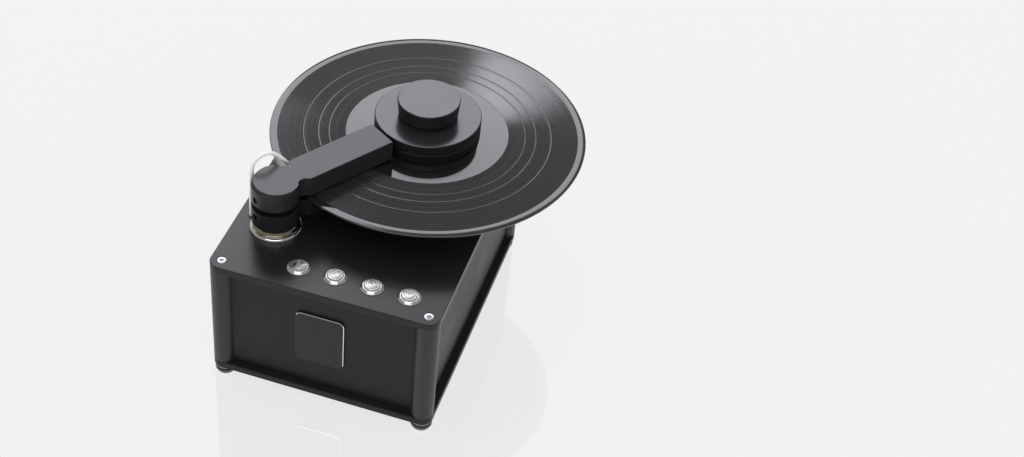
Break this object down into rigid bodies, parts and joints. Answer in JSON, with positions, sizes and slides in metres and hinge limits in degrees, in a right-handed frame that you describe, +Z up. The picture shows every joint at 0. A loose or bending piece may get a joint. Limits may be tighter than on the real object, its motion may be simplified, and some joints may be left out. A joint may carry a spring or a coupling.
{
  "type": "record cleaning machine",
  "caption": "Black box on polished feet with a record held by a screw-top clamp over it, two stacked suction arms on a swinging column, and push buttons along its front edge",
  "frame": {"origin": "on the floor, below the middle of the bounding box; the spindle axis is in the plane x = 0", "axes": "+X to the right seen from the push buttons, +Y to the back, +Z up"},
  "size_m": [0.3016, 0.3672, 0.2136],
  "materials": {
    "deck_black": "black anodised, satin",
    "panel_black": "black anodised, satin",
    "post_grey": "dark grey anodised, satin",
    "badge_gloss": "glossy black",
    "bright_steel": "polished",
    "foot_polish": "polished, dark",
    "black_rubber": "matt",
    "flange_chrome": "mirror polished",
    "housing_metal": "machined",
    "bush_bronze": "sintered bronze",
    "shaft_steel": "ground",
    "arm_silver": "fine bead blasted, satin anodised",
    "lip_velvet": "short pile",
    "white_silicone": "smooth, translucent",
    "platter_black": "black anodised",
    "record_vinyl": "grooved, glossy",
    "clamp_black": "fine turned, black anodised",
    "motor_shell": "satin black",
    "standoff_brass": "turned",
    "turbine_black": "moulded",
    "tank_plastic": "moulded, milky",
    "fitting_black": "moulded",
    "supply_steel": "galvanised sheet",
    "board_green": "solder mask",
    "button_steel": "turned, satin",
    "inlet_black": "moulded",
    "pin_brass": "plated"
  },
  "bodies": {
    "chassis": {"base_plate": "deck_black", "top_plate": "deck_black", "corner_posts": "post_grey", "front_panel": "panel_black", "rear_panel": "panel_black", "side_panels": "panel_black", "front_badge": "badge_gloss", "top_screws": "bright_steel", "feet": "foot_polish", "foot_rings": "black_rubber", "foot_screws": "bright_steel", "column_flange": "flange_chrome", "column_housing": "housing_metal", "column_bushes": "bush_bronze", "spindle_housing": "housing_metal", "spindle_bearings": "shaft_steel", "motor_bracket": "housing_metal", "gear_motor": "motor_shell", "standoffs": "standoff_brass", "vacuum_turbine": "turbine_black", "waste_tank": "tank_plastic", "fluid_tank": "tank_plastic", "fluid_pump": "turbine_black", "inner_hoses": "black_rubber", "inner_lines": "white_silicone", "power_supply": "supply_steel", "control_board": "board_green", "button_bodies": "button_steel", "button_nuts": "bright_steel", "mains_inlet": "inlet_black", "inlet_pins": "pin_brass", "rocker_frame": "inlet_black", "drain_spigot": "fitting_black", "filler_neck": "fitting_black", "tube_grommet": "black_rubber", "feed_tube": "white_silicone"},
    "turntable": {"spindle": "shaft_steel", "platter": "platter_black", "platter_mat": "black_rubber", "record": "record_vinyl", "shaft_coupling": "housing_metal"},
    "clamp": {"clamp_weight": "clamp_black", "clamp_lid": "clamp_black", "clamp_knob": "clamp_black", "clamp_seal": "black_rubber"},
    "arms": {"arm_column": "shaft_steel", "column_collar": "housing_metal", "upper_arm": "arm_silver", "lower_arm": "arm_silver", "slot_plates": "shaft_steel", "slot_lips": "lip_velvet", "set_screws": "bright_steel", "hose_nipple": "shaft_steel"},
    "button_1": {"button_cap_1": "button_steel"},
    "button_2": {"button_cap_2": "button_steel"},
    "button_3": {"button_cap_3": "button_steel"},
    "button_4": {"button_cap_4": "button_steel"},
    "mains_rocker": {"rocker": "inlet_black"},
    "filler_lid": {"filler_cap": "fitting_black"},
    "drain_lid": {"drain_cap": "fitting_black"}
  },
  "joints": [
    {"name": "platter_spin", "type": "hinge", "parent": "chassis", "child": "turntable", "pos_m": [0, 0.0328, 0.141], "axis": [0, 0, 1], "continuous": true},
    {"name": "clamp_lift", "type": "slide", "parent": "turntable", "child": "clamp", "axis": [0, 0, 1], "range_m": [0, 0.06]},
    {"name": "arm_swing", "type": "hinge", "parent": "chassis", "child": "arms", "pos_m": [-0.0973, -0.1128, 0.141], "axis": [0, 0, 1], "range_deg": [0, 75], "deforming": ["feed_tube"]},
    {"name": "button_1_press", "type": "slide", "parent": "chassis", "child": "button_1", "axis": [0, 0, -1], "range_m": [0, 0.0015], "stiffness_N_per_m": 400, "springref_m": -0.003},
    {"name": "button_2_press", "type": "slide", "parent": "chassis", "child": "button_2", "axis": [0, 0, -1], "range_m": [0, 0.0015], "stiffness_N_per_m": 400, "springref_m": -0.003},
    {"name": "button_3_press", "type": "slide", "parent": "chassis", "child": "button_3", "axis": [0, 0, -1], "range_m": [0, 0.0015], "stiffness_N_per_m": 400, "springref_m": -0.003},
    {"name": "button_4_press", "type": "slide", "parent": "chassis", "child": "button_4", "axis": [0, 0, -1], "range_m": [0, 0.0015], "stiffness_N_per_m": 400, "springref_m": -0.003},
    {"name": "rocker_tilt", "type": "hinge", "parent": "chassis", "child": "mains_rocker", "pos_m": [-0.0249, 0.0974, 0.083], "axis": [1, 0, 0], "range_deg": [0, 16]},
    {"name": "filler_cap_pull", "type": "slide", "parent": "chassis", "child": "filler_lid", "axis": [0, 1, 0], "range_m": [0, 0.02]},
    {"name": "drain_cap_pull", "type": "slide", "parent": "chassis", "child": "drain_lid", "axis": [0, 1, 0], "range_m": [0, 0.02]}
  ]
}
